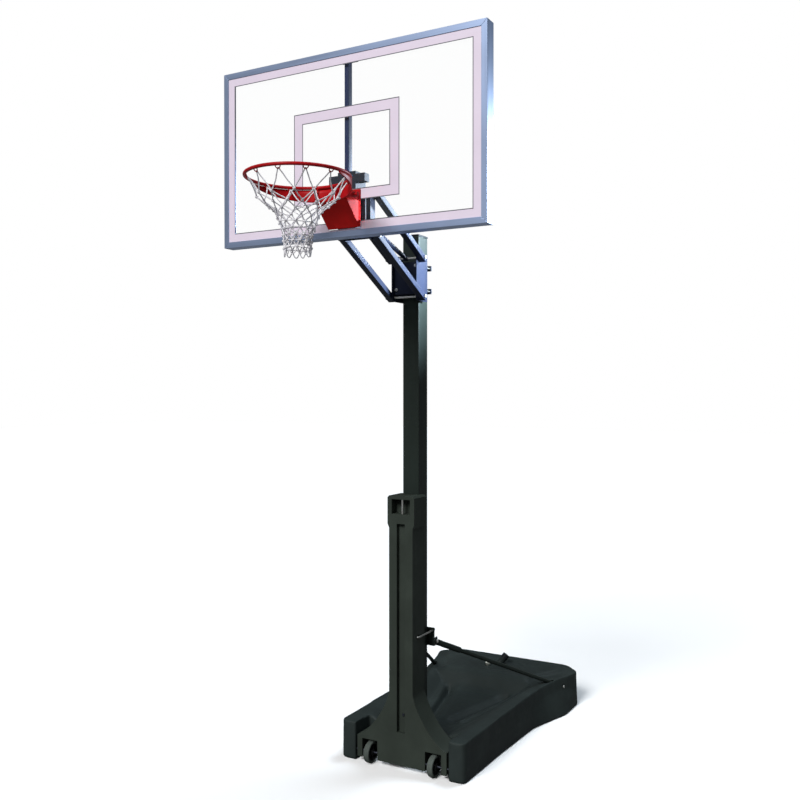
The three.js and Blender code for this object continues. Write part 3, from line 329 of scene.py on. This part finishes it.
class Shape:
    """Vertices and faces gathered from several simple bodies."""

    def __init__(self):
        self.verts, self.faces = [], []

    def add(self, verts, faces):
        """Adds a body; its faces count from its own first vertex."""
        start = len(self.verts)
        self.verts += [Vector(v) for v in verts]
        self.faces += [[i + start for i in face] for face in faces]

    def rings(self, rings, closed=False, caps=True):
        """Skins rings with the same number of points."""
        n = len(rings[0])
        verts = [p for ring in rings for p in ring]
        faces = []
        count = len(rings)
        for k in range(count if closed else count - 1):
            a, b = k * n, ((k + 1) % count) * n
            for i in range(n):
                j = (i + 1) % n
                faces.append([a + i, a + j, b + j, b + i])
        if caps and not closed:
            faces.append(list(range(n))[::-1])
            faces.append([(count - 1) * n + i for i in range(n)])
        self.add(verts, faces)

    def tube(self, path, radius, sides=8, closed=False):
        """A round tube along a path; radius may be a number or one for each point."""
        points = [Vector(p) for p in path]
        count = len(points)
        radii = radius if hasattr(radius, "__len__") else [radius] * count
        rings, normal = [], None
        for k, p in enumerate(points):
            before = points[(k - 1) % count] if closed else points[max(k - 1, 0)]
            after = points[(k + 1) % count] if closed else points[min(k + 1, count - 1)]
            axis = (after - before).normalized()
            if normal is None:
                normal = axis.orthogonal().normalized()
            normal = (normal - axis * normal.dot(axis)).normalized()
            side = axis.cross(normal)
            rings.append([p + (normal * math.cos(t) + side * math.sin(t)) * radii[k]
                          for t in (2 * math.pi * i / sides for i in range(sides))])
        if closed:
            # the last ring is turned so that it meets the first one without a twist
            first = rings[0][0] - points[0]
            last = rings[-1]
            turn = max(range(sides), key=lambda i: (last[i] - points[-1]).dot(first))
            if turn:
                for k, p in enumerate(points):
                    angle = 2 * math.pi * (k * turn / (count - 1)) / sides
                    axis = (points[(k + 1) % count] - points[(k - 1) % count]).normalized()
                    spin = Matrix.Rotation(angle, 3, axis)
                    rings[k] = [p + spin @ (q - p) for q in rings[k]]
        self.rings(rings, closed=closed)

    def lathe(self, profile, centre, axis, sides=48):
        """Turns a closed profile of (radius, place along the axis) round an axis through centre."""
        axis = Vector(axis).normalized()
        u = axis.orthogonal().normalized()
        v = axis.cross(u)
        rings = []
        for i in range(sides):
            t = 2 * math.pi * i / sides
            out = u * math.cos(t) + v * math.sin(t)
            rings.append([Vector(centre) + out * r + axis * h for r, h in profile])
        self.rings(rings, closed=True)

    def box(self, low, high):
        """A box between two corners."""
        (x0, y0, z0), (x1, y1, z1) = low, high
        verts = [(x, y, z) for z in (z0, z1) for x, y in ((x0, y0), (x1, y0), (x1, y1), (x0, y1))]
        self.rings([verts[:4], verts[4:]])

    def make(self, name, material, smooth=True):
        """The gathered bodies as one object, with every face turned outwards."""
        obj = piece(name, self.verts, self.faces, material, smooth)
        tidy = bmesh.new()
        tidy.from_mesh(obj.data)
        bmesh.ops.recalc_face_normals(tidy, faces=tidy.faces)
        tidy.to_mesh(obj.data)
        tidy.free()
        return obj


# ---------- ballast base: moulded deck and rounded walls ----------

BASE_FRONT = base_low.y
BASE_HEIGHT = 0.215
SADDLE_HEIGHT = 0.238
VALLEY_FLOOR = 0.118
FOOT_PLAN = [(0.387, BASE_FRONT), (0.398, 0.300), (0.420, 0.735), (0.472, 0.905), (0.521, 1.060),
             (0.518, 1.290), (0.408, base_high.y)]
SHOULDER_PLAN = [(0.385, BASE_FRONT), (0.391, 0.300), (0.401, 0.735), (0.408, 0.905), (0.438, 1.078),
                 (0.512, 1.290), (0.402, base_high.y - 0.002)]
STAY_TOP = Vector((0.070, 0.078, 0.662))
STAY_END = Vector((0.452, 1.128, 0.158))
BOLT_SEAT = 0.470
CORNER_RADIUS = 0.035
PLAN_CENTRE = Vector((0, 0.62))
# heights of the wall's rings and how far each is inset, so that the foot is rounded
WALL_LEVELS = ((0, 0.009), (0.003, 0.003), (0.009, 0), (0.05, 0), (0.10, 0), (0.15, 0), (0.26, 0))
FRONT_POCKET = (-0.292, -0.40, -0.05), (0.292, -0.018, 0.5)
MAST_HOLE = (-0.0535, -0.0535, 0.036), (0.0535, 0.0535, 0.5)
GRID_STEP = 0.0075
GRID_TOP = 0.40
VOXEL = 0.0065


def smoothstep(t):
    """0 below 0, 1 above 1 and a smooth rise between."""
    t = np.clip(t, 0, 1)
    return t * t * (3 - 2 * t)


def rounded_plan(half, radius, steps=5):
    """A whole outline from a half plan, front to rear, with its corners turned into arcs."""
    corners = [Vector(p) for p in half] + [Vector((-x, y)) for x, y in reversed(half)]
    outline = []
    for k, corner in enumerate(corners):
        before, after = corners[k - 1], corners[(k + 1) % len(corners)]
        reach = min(radius, (before - corner).length * 0.45, (after - corner).length * 0.45)
        start = corner + (before - corner).normalized() * reach
        end = corner + (after - corner).normalized() * reach
        for i in range(steps + 1):
            t = i / steps
            outline.append(start.lerp(corner, t).lerp(corner.lerp(end, t), t))
    return outline


def inset_outline(outline, distance):
    """Moves each point of an outline towards its inside."""
    inner = []
    for k, p in enumerate(outline):
        edge = (outline[(k + 1) % len(outline)] - outline[k - 1]).normalized()
        inward = Vector((-edge.y, edge.x))
        if inward.dot(PLAN_CENTRE - p) < 0:
            inward.negate()
        inner.append(p + inward * distance)
    return inner


def valley_wall(top, t, power=1.0):
    """Height of a wall that rises from the valley's floor to top while t goes from 0 to 1."""
    return VALLEY_FLOOR + (top - VALLEY_FLOOR) * smoothstep(t) ** power


def deck_height(x, y):
    """Height of the moulded deck over the plan."""
    ax = np.abs(x)
    along_valley = np.clip(y / 0.80, 0, 1)
    foot = 0.080 + 0.125 * along_valley
    shoulder = 0.345 + 0.032 * along_valley
    side = valley_wall(BASE_HEIGHT + 0.004, (ax - foot) / (shoulder - foot), 0.85)
    rear = valley_wall(SADDLE_HEIGHT + 0.008, (y - 0.79) / 0.175)
    front = valley_wall(BASE_HEIGHT + 0.004, (-0.035 - y) / 0.05)
    valley = np.maximum(np.maximum(side, rear), np.where(ax > 0.27, front, 0))
    # two grooves that spread towards the rear, with a raised tongue between them
    length = smoothstep((y - 0.30) / 0.06) * smoothstep((0.86 - y) / 0.05)
    groove_x = 0.080 + 0.125 * np.clip((y - 0.33) / 0.52, 0, 1)
    groove = np.exp(-((ax - groove_x) / 0.016) ** 2)
    lip = np.exp(-((ax - groove_x - 0.036) / 0.020) ** 2)
    tongue = smoothstep((groove_x - 0.026 - ax) / 0.035)
    valley = valley + length * (0.016 * tongue + 0.017 * lip - 0.024 * groove)
    # the saddle behind, its crown and the shallow oval pad on it
    saddle_half = 0.325 + 0.11 * smoothstep((y - 0.98) / 0.25)
    crown = smoothstep((saddle_half - ax) / 0.045)
    crown = crown * smoothstep((y - 0.90) / 0.05) * smoothstep((1.335 - y) / 0.05)
    deck = BASE_HEIGHT + (SADDLE_HEIGHT - BASE_HEIGHT) * crown
    pad = np.sqrt((x / 0.185) ** 2 + ((y - 1.125) / 0.118) ** 2)
    deck = deck - 0.008 * smoothstep((1.02 - pad) / 0.07)
    return np.minimum(deck, np.where(y < 1.0, valley, 1.0))


def build_walls():
    """The outside of the base as a loft, left open to the deck's cutter above."""
    foot = rounded_plan(FOOT_PLAN, CORNER_RADIUS)
    shoulder = rounded_plan(SHOULDER_PLAN, CORNER_RADIUS)

    def level(z):
        t = np.clip(z / BASE_HEIGHT, 0, 1)
        return [a.lerp(b, t) for a, b in zip(foot, shoulder)]

    rings = []
    for z, inset in WALL_LEVELS:
        rings.append([Vector((p.x, p.y, z)) for p in inset_outline(level(z), inset)])
    walls = Shape()
    walls.rings(rings)
    return walls.make("base_shell", TANK)


def deck_cutter():
    """Everything above the deck: a height field closed by a lid."""
    xs = np.arange(-0.555, 0.5551, GRID_STEP)
    ys = np.arange(-0.20, 1.4301, GRID_STEP)
    gx, gy = np.meshgrid(xs, ys)
    z = deck_height(gx, gy)
    n, m = len(xs), len(ys)
    deck = Shape()
    verts = [(gx[j, i], gy[j, i], z[j, i]) for j in range(m) for i in range(n)]
    verts += [(gx[j, i], gy[j, i], GRID_TOP) for j, i in ((0, 0), (0, n - 1), (m - 1, n - 1), (m - 1, 0))]
    faces = [[j * n + i + 1, j * n + i, (j + 1) * n + i, (j + 1) * n + i + 1]
             for j in range(m - 1) for i in range(n - 1)]
    a, b, c, d = (n * m + k for k in range(4))
    faces.append(list(range(n)) + [b, a])
    faces.append([(j + 1) * n - 1 for j in range(m)] + [c, b])
    faces.append([m * n - 1 - i for i in range(n)] + [d, c])
    faces.append([(m - 1 - j) * n for j in range(m)] + [a, d])
    faces.append([a, b, c, d])
    deck.add(verts, faces)
    return deck.make("deck_cutter", TANK)


def base_cutters():
    """The tools that cut the base: deck, front pocket, mast hole, and each stay's slot and bolt bore."""
    tools = [deck_cutter()]
    pocket = Shape()
    pocket.box(*FRONT_POCKET)
    tools.append(pocket.make("pocket_cutter", TANK))
    hole = Shape()
    hole.box(*MAST_HOLE)
    tools.append(hole.make("mast_cutter", TANK))
    for side in (-1, 1):
        end = Vector((STAY_END.x * side, STAY_END.y, STAY_END.z))
        axis = (end - Vector((STAY_TOP.x * side, STAY_TOP.y, STAY_TOP.z))).normalized()
        across = axis.cross(Vector((0, 0, 1))).normalized() * 0.013
        up = across.normalized().cross(axis) * 0.017
        slot = Shape()
        slot.rings([[p - across - up, p + across - up, p + across + up, p - across + up]
                    for p in (end - axis * 0.330, end + axis * 0.028)])
        tools.append(slot.make(f"slot_cutter_{side + 2}", TANK))
        bore = Shape()
        seat = BOLT_SEAT * side
        for start, stop, radius in ((seat, seat + 0.03 * side, 0.014),
                                    (seat - 0.06 * side, seat + 0.005 * side, 0.006)):
            bore.tube([(start, end.y, end.z), (stop, end.y, end.z)], radius, 24)
        tools.append(bore.make(f"bolt_cutter_{side + 2}", TANK))
    return tools


def build_base():
    """Walls cut from above by the deck, then softened as a moulding is."""
    body = build_walls()
    tools = base_cutters()
    for tool in tools:
        modify(body, "BOOLEAN", object=tool, operation="DIFFERENCE", solver="EXACT")
    apply_all(body)
    for tool in tools:
        bpy.data.objects.remove(tool)
    modify(body, "REMESH", mode="VOXEL", voxel_size=VOXEL)
    modify(body, "SMOOTH", factor=0.5, iterations=5)
    modify(body, "DECIMATE", ratio=0.55)
    apply_all(body)
    body.data.materials.clear()
    body.data.materials.append(TANK)
    body.data.shade_smooth()
    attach(body, "stand")
    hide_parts("base_tank", "ballast")


# radius and place along the axis, from below the deck to the lip
NECK_PROFILE = [(0.016, -0.022), (0.030, -0.022), (0.026, -0.004), (0.0215, 0.004),
                (0.0205, 0.042), (0.022, 0.045), (0.022, 0.048), (0.016, 0.048)]
NECK_ROOT = Vector((0.010, 1.150, 0.232))
NECK_AXIS = Vector((0.55, 0.30, 0.78)).normalized()


def build_neck():
    """The filler neck, a stub on the deck with a rolled lip."""
    neck = Shape()
    neck.lathe(NECK_PROFILE, NECK_ROOT, NECK_AXIS, 40)
    stub = neck.make("filler_neck", TANK)
    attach(stub, "stand")


# height and radius, from the thread in the deck to the cap's top
PLUG_PROFILE = [(0.2165, 0.0082), (0.2294, 0.0082), (0.2296, 0.0150), (0.2306, 0.0160),
                (0.2590, 0.0155), (0.2625, 0.0142), (0.2640, 0.0115)]
PLUG_RIBS = 16


def build_plug():
    """The drain plug, a ribbed cap that stands on the sunk pad with its thread in the deck."""
    low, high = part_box("drain_plug")
    x, y = (low.x + high.x) / 2, (low.y + high.y) / 2
    form = Shape()
    form.tube([(x, y, z) for z, _ in PLUG_PROFILE], [r for _, r in PLUG_PROFILE], 32)
    for k in range(PLUG_RIBS):
        angle = 2 * math.pi * k / PLUG_RIBS
        rib = Vector((math.cos(angle), math.sin(angle), 0)) * 0.0156
        form.tube([(x + rib.x, y + rib.y, 0.2312), (x + rib.x, y + rib.y, 0.2575)], 0.0011, 8)
    plug = form.make("drain_plug_cap", PLUG_STEEL)
    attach(plug, "stand")
    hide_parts("drain_plug")


# ---------- wheels ----------

WHEEL_HALF_WIDTH = 0.017
SPOKES = 6


def build_wheels():
    """Each wheel as a grooved tread round a spoked hub."""
    half = WHEEL_HALF_WIDTH
    for name in ("left", "right"):
        low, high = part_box(f"wheel_{name}")
        centre = (low + high) / 2
        radius = (high.z - low.z) / 2
        tread = Shape()
        profile = [(0.0455, -half + 0.004), (0.048, -half + 0.0008), (radius - 0.006, -half),
                   (radius - 0.0022, -half + 0.003), (radius - 0.0004, -half + 0.009)]
        for groove in (-0.0045, 0.0045):
            profile += [(radius - 0.0002, groove - 0.0016), (radius - 0.0018, groove - 0.0009),
                        (radius - 0.0018, groove + 0.0009), (radius - 0.0002, groove + 0.0016)]
        profile += [(r, -h) for r, h in profile[4::-1]]
        tread.lathe(profile, centre, (1, 0, 0), 72)
        tyre = tread.make(f"wheel_{name}_tread", TYRE)
        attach(tyre, f"wheel_{name[0]}")
        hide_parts(f"wheel_{name}")
        disc = Shape()
        flank = [(0.0074, -half - 0.002), (0.015, -half - 0.002), (0.0175, -half + 0.001), (0.0185, -0.008),
                 (0.0395, -0.0075), (0.0425, -half + 0.003), (0.0462, -half + 0.002)]
        disc.lathe(flank + [(r, -h) for r, h in reversed(flank)], centre, (1, 0, 0), 64)
        for face in (-1, 1):
            for k in range(SPOKES):
                angle = 2 * math.pi * k / SPOKES + 0.3
                out = Vector((0, math.cos(angle), math.sin(angle)))
                across = Vector((0, -math.sin(angle), math.cos(angle)))
                ring = []
                for r, w in ((0.016, 0.0028), (0.041, 0.0022)):
                    base = centre + out * r
                    inner, outer = Vector((face * 0.006, 0, 0)), Vector((face * (half - 0.003), 0, 0))
                    ring.append([base + across * w + inner, base - across * w + inner,
                                 base - across * w * 0.7 + outer, base + across * w * 0.7 + outer])
                disc.rings(ring)
        hub = disc.make(f"wheel_{name}_hub", HUB)
        modify(hub, "BEVEL", width=0.0006, segments=2, limit_method="ANGLE", angle_limit=math.radians(35))
        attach(hub, f"wheel_{name[0]}")


# ---------- ring and its hooks ----------

def ring_point(angle, radius, z):
    """A point at an angle round the ring's centre."""
    return Vector((math.cos(angle) * radius, RING_CENTRE.y + math.sin(angle) * radius, z))


def hook_angle(k):
    """Where hook k sits round the ring."""
    return (k + 0.5) / HOOKS * 2 * math.pi


def build_ring():
    """The ring's rod with the loops of rod under it that hold the net."""
    ring = Shape()
    steps = 144
    ring.tube([ring_point(2 * math.pi * i / steps, RING_RADIUS, RING_CENTRE.z) for i in range(steps)],
              RING_ROD, 20, closed=True)
    seat, low = RING_CENTRE.z - 0.004, RING_CENTRE.z - RING_ROD - 0.009
    for k in range(HOOKS):
        angle = hook_angle(k)
        path = []
        for i in range(17):
            t = i / 16 * 2 - 1
            swing = t * 0.0125 / RING_RADIUS
            drop = 1 - abs(t) ** 3.5
            reach = RING_RADIUS - 0.003 - 0.0075 * drop
            path.append(ring_point(angle + swing, reach, seat - (seat - low) * drop))
        ring.tube(path, 0.0024, 10)
    hoop = ring.make("ring_rod", RIM_COAT)
    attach(hoop, "rim")
    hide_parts("rim_ring")


# place across the band and share of its depth
BAND_PROFILE = [(-0.0022, 0.0), (0.0022, 0.0), (0.0024, 0.3), (0.0024, 0.75), (0.0030, 0.93), (0.0012, 1.0),
                (-0.0018, 1.0), (-0.0024, 0.9), (-0.0024, 0.3)]


def build_brace():
    """The formed band under the rear of the ring, deepest at the board, with a rolled lower edge."""
    arc = math.radians(96)
    radius, top = RING_RADIUS + 0.0045, RING_CENTRE.z - RING_ROD - 0.0004
    rings = []
    for i in range(97):
        angle = -arc + 2 * arc * i / 96
        depth = 0.006 + 0.056 * math.cos(angle / arc * math.pi / 2) ** 0.8
        rings.append([Vector((math.sin(angle) * (radius + r), RING_CENTRE.y + math.cos(angle) * (radius + r),
                              top - depth * d)) for r, d in BAND_PROFILE])
    band = Shape()
    band.rings(rings)
    brace = band.make("ring_brace", RIM_COAT)
    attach(brace, "rim")
    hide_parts("rim_brace")


# ---------- net ----------

# each row's drop below the top and its radius
NET_ROWS = [(0.000, 0.222), (0.072, 0.186), (0.108, 0.139), (0.134, 0.108), (0.160, 0.094), (0.188, 0.084),
            (0.216, 0.074), (0.244, 0.067), (0.272, 0.063), (0.300, 0.061)]
TIED_FROM_ROW = 5
LOOP_RADIUS = RING_RADIUS - 0.0125
LOOP_HEIGHT = RING_CENTRE.z - RING_ROD - 0.0085


def build_net():
    """Twelve loops of cord, tied in rows of knots that pinch into a sleeve and end in ragged loops."""
    cords, knots = Shape(), Shape()

    def rough(k, row, salt):
        return noise.noise(Vector((k * 1.7, row * 2.3, salt)))

    def outward_at(place):
        return Vector((place.x, place.y - RING_CENTRE.y, 0)).normalized()

    def knot_place(row, k):
        drop, radius = NET_ROWS[row]
        angle = hook_angle(k) + (math.pi / HOOKS if row % 2 else 0)
        if row:
            angle += rough(k % HOOKS, row, 4.0) * 0.10
            radius *= 1 + rough(k % HOOKS, row, 8.0) * (0.05 if row < 4 else 0.10)
            drop += rough(k % HOOKS, row, 2.0) * 0.009
        return ring_point(angle, radius, NET_TOP - drop)

    def strand(a, b, sag, thickness, salt):
        outward = outward_at((a + b) / 2)
        across = Vector((-outward.y, outward.x, 0))
        path = []
        for i in range(9):
            t = i / 8
            bow = math.sin(math.pi * t)
            wobble = noise.noise(Vector((salt * 3.1, t * 2.5, 1.0))) * 0.004
            hang = Vector((0, 0, -sag * 0.3 * bow))
            path.append(a.lerp(b, t) - outward * sag * bow + across * wobble * bow + hang)
        radii = [thickness * (1 + 0.10 * math.sin(i * 2.4 + salt)) for i in range(9)]
        cords.tube(path, radii, 7)

    def knot(place, size, salt):
        turn = Matrix.Rotation(salt * 1.3, 3, Vector((0.3, 0.5, 1)).normalized())
        for tilt in (0.0, 1.15):
            twist = turn @ Matrix.Rotation(tilt, 3, "X")
            turns = (2 * math.pi * i / 10 for i in range(10))
            path = [place + twist @ Vector((math.cos(t) * size, math.sin(t) * size * 0.8,
                                            0.35 * size * math.sin(2 * t))) for t in turns]
            knots.tube(path, size * 0.62, 6, closed=True)

    last = len(NET_ROWS) - 1
    for row in range(last):
        thickness = 0.0030 if row < 2 else 0.0028
        for k in range(HOOKS):
            start = knot_place(row, k)
            for step in (0, 1):
                other = k - 1 + step if row % 2 == 0 else k + step
                end = knot_place(row + 1, other)
                if row == 0:
                    # each loop hangs from the inside of its hook as two cords side by side
                    angle = hook_angle(k) + (step - 0.5) * 0.022
                    start = ring_point(angle, LOOP_RADIUS, LOOP_HEIGHT)
                sag = 0.006 if row == 0 else 0.002 + 0.002 * rough(k, row, 5.0)
                strand(start, end, sag, thickness, k + row * 13 + step * 5)
    for row in range(TIED_FROM_ROW, last + 1):
        # the lower rows are drawn together by short ties between neighbouring knots
        for k in range(HOOKS):
            strand(knot_place(row, k), knot_place(row, (k + 1) % HOOKS), 0.001, 0.0024, k + row * 7)
    for k in range(HOOKS):
        # the turn of each loop over its hook
        angle = hook_angle(k)
        path = [ring_point(angle + math.cos(t) * 0.011, LOOP_RADIUS + math.sin(t) * 0.002,
                           LOOP_HEIGHT + math.sin(t) * 0.0028)
                for t in (math.pi * i / 8 for i in range(9))]
        cords.tube(path, 0.0027, 8)
    for row in range(1, last + 1):
        for k in range(HOOKS):
            knot(knot_place(row, k), 0.0052 if row < 4 else 0.0050, k * 0.7 + row)
    for k in range(HOOKS):
        # loops at the lower edge, of uneven length
        a, b = knot_place(last, k), knot_place(last, (k + 1) % HOOKS)
        drop = 0.026 + 0.014 * (rough(k, 20, 1.0) + 0.5)
        outward = outward_at((a + b) / 2)
        flare = rough(k, 21, 3.0) * 0.012
        path = []
        for i in range(11):
            bow = math.sin(math.pi * (i / 10))
            path.append(a.lerp(b, i / 10) + Vector((0, 0, -drop * bow ** 0.7)) + outward * flare * bow)
        cords.tube(path, 0.0024, 7)
    netting = cords.make("net_cords", CORD)
    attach(netting, "rim")
    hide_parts("net")
    ties = knots.make("net_knots", CORD)
    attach(ties, "rim")


# ---------- printed edges of the white lines ----------

KEYLINE_WIDTH = 0.0042
KEYLINE_THICKNESS = 0.0003
KEYLINE_BACK = GLASS_FRONT - 0.0009
TARGET_LINE = 0.0508
BORDER_INNER_EDGE = 0.0715


def outline_strip(name, half, bottom, top):
    """A thin dark line round a printed rectangle."""
    y1 = KEYLINE_BACK
    y0 = y1 - KEYLINE_THICKNESS

    def corners(grow):
        return [(-half - grow, bottom - grow), (half + grow, bottom - grow),
                (half + grow, top + grow), (-half - grow, top + grow)]

    outer, inner = corners(KEYLINE_WIDTH / 2), corners(-KEYLINE_WIDTH / 2)
    strip = Shape()
    for k in range(4):
        j = (k + 1) % 4
        flat = [outer[k], outer[j], inner[j], inner[k]]
        strip.rings([[Vector((x, y0, z)) for x, z in flat], [Vector((x, y1, z)) for x, z in flat]])
    line = strip.make(name, KEYLINE, smooth=False)
    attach(line, "board")


def build_print_edges():
    """Lines at both edges of the target and at the inner edge of the border."""
    low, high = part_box("target_print")
    outline_strip("target_edge_outer", high.x, low.z, high.z)
    outline_strip("target_edge_inner", high.x - TARGET_LINE, low.z + TARGET_LINE, high.z - TARGET_LINE)
    low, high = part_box("border_print")
    inset = BORDER_INNER_EDGE - (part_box("frame_right")[1].x - high.x)
    outline_strip("border_edge_inner", high.x - inset, low.z + inset, high.z - inset)


# ---------- floor, lights and camera ----------

FLOOR_HALF = 40
FLOOR_BOUNCE = 0.22
WORLD_FILL = 0.10


def build_floor():
    """A pale floor that throws back less light than it shows, so that upright faces stay dark."""
    s = Shader("pale_floor")
    pale = s.ramp(s.noise(0.8, 2), (0.3, (0.94, 0.94, 0.94)), (0.7, (0.96, 0.96, 0.96)))
    # sockets 0, 6 and 7 of a colour mix are its factor and its two colours, and output 2 is the result
    dim = s.add("ShaderNodeMix", data_type="RGBA")
    dim.inputs[6].default_value = (0, 0, 0, 1)
    path = s.add("ShaderNodeLightPath")
    keep = s.add("ShaderNodeMapRange", To_Min=FLOOR_BOUNCE)
    s.link(path.outputs["Is Camera Ray"], keep.inputs["Value"])
    s.link(keep.outputs["Result"], dim.inputs[0])
    s.link(pale, dim.inputs[7])
    s.link(dim.outputs[2], s.surface.inputs["Base Color"])
    s.set(Roughness=0.9, Specular_IOR_Level=0.1)
    size = FLOOR_HALF
    corners = [(-size, -size, 0), (size, -size, 0), (size, size, 0), (-size, size, 0)]
    floor = piece("floor", corners, [[0, 1, 2, 3]], s.material)


def build_world():
    """White to the camera, dimmer as fill light."""
    world = bpy.data.worlds.new("studio")
    bpy.context.scene.world = world
    world.use_nodes = True
    nodes, links = world.node_tree.nodes, world.node_tree.links
    background = nodes["Background"]
    background.inputs["Color"].default_value = (1, 1, 1, 1)
    seen = nodes.new("ShaderNodeLightPath")
    strength = nodes.new("ShaderNodeMapRange")
    strength.inputs["To Min"].default_value = WORLD_FILL
    links.new(seen.outputs["Is Camera Ray"], strength.inputs["Value"])
    links.new(strength.outputs["Result"], background.inputs["Strength"])


def new_light(name, kind, power, colour):
    """A light of one kind, not yet placed."""
    data = bpy.data.lights.new(name, kind)
    data.energy = power
    data.color = colour
    light = bpy.data.objects.new(name, data)
    bpy.context.scene.collection.objects.link(light)
    return light


def spot_light(name, place, aim, cone, power, colour):
    """A soft-edged lamp that covers only what it aims at."""
    light = new_light(name, "SPOT", power, colour)
    light.data.spot_size = math.radians(cone)
    light.data.spot_blend = 0.4
    light.data.shadow_soft_size = 0.25
    light.location = place
    light.rotation_euler = (Vector(aim) - Vector(place)).to_track_quat("-Z", "Y").to_euler()
    light.visible_camera = False


def sun(name, azimuth, elevation, strength, softness, colour=(1, 1, 1)):
    """A broad far light. Azimuth 0 shines from in front of the board, 90 from its right."""
    light = new_light(name, "SUN", strength, colour)
    light.data.angle = math.radians(softness)
    a, e = math.radians(azimuth), math.radians(elevation)
    source = Vector((math.sin(a) * math.cos(e), -math.cos(a) * math.cos(e), math.sin(e)))
    light.rotation_euler = source.to_track_quat("Z", "Y").to_euler()


def build_lights():
    """A key from the front, a cool one from above behind, and two lamps on the head's right side."""
    sun("key", -4, 38, 3.6, 24)
    sun("overhead", 150, 66, 1.4, 20, (0.78, 0.9, 1.0))
    spot_light("board_side", (2.0, 3.3, 4.0), (0.4, -0.5, 3.25), 22, 700, (0.72, 0.85, 1.0))
    spot_light("arm_side", (1.8, 0.3, 3.0), (0, -0.22, 2.76), 28, 2400, (0.72, 0.86, 1.0))


def build_camera():
    """The camera, fitted to known sizes of the hoop."""
    data = bpy.data.cameras.new("camera")
    data.lens = 40.04
    data.sensor_width = 36
    data.shift_x = -0.02457
    camera = bpy.data.objects.new("camera", data)
    bpy.context.scene.collection.objects.link(camera)
    camera.location = (2.4158, -4.3533, 2.0764)
    camera.rotation_euler = (math.radians(89.368), 0, math.radians(28.742))
    bpy.context.scene.camera = camera


build_base()
build_neck()
build_plug()
build_wheels()
build_ring()
build_brace()
build_net()
build_print_edges()
build_floor()
build_world()
build_lights()
build_camera()
bpy.context.scene.view_settings.view_transform = "Standard"
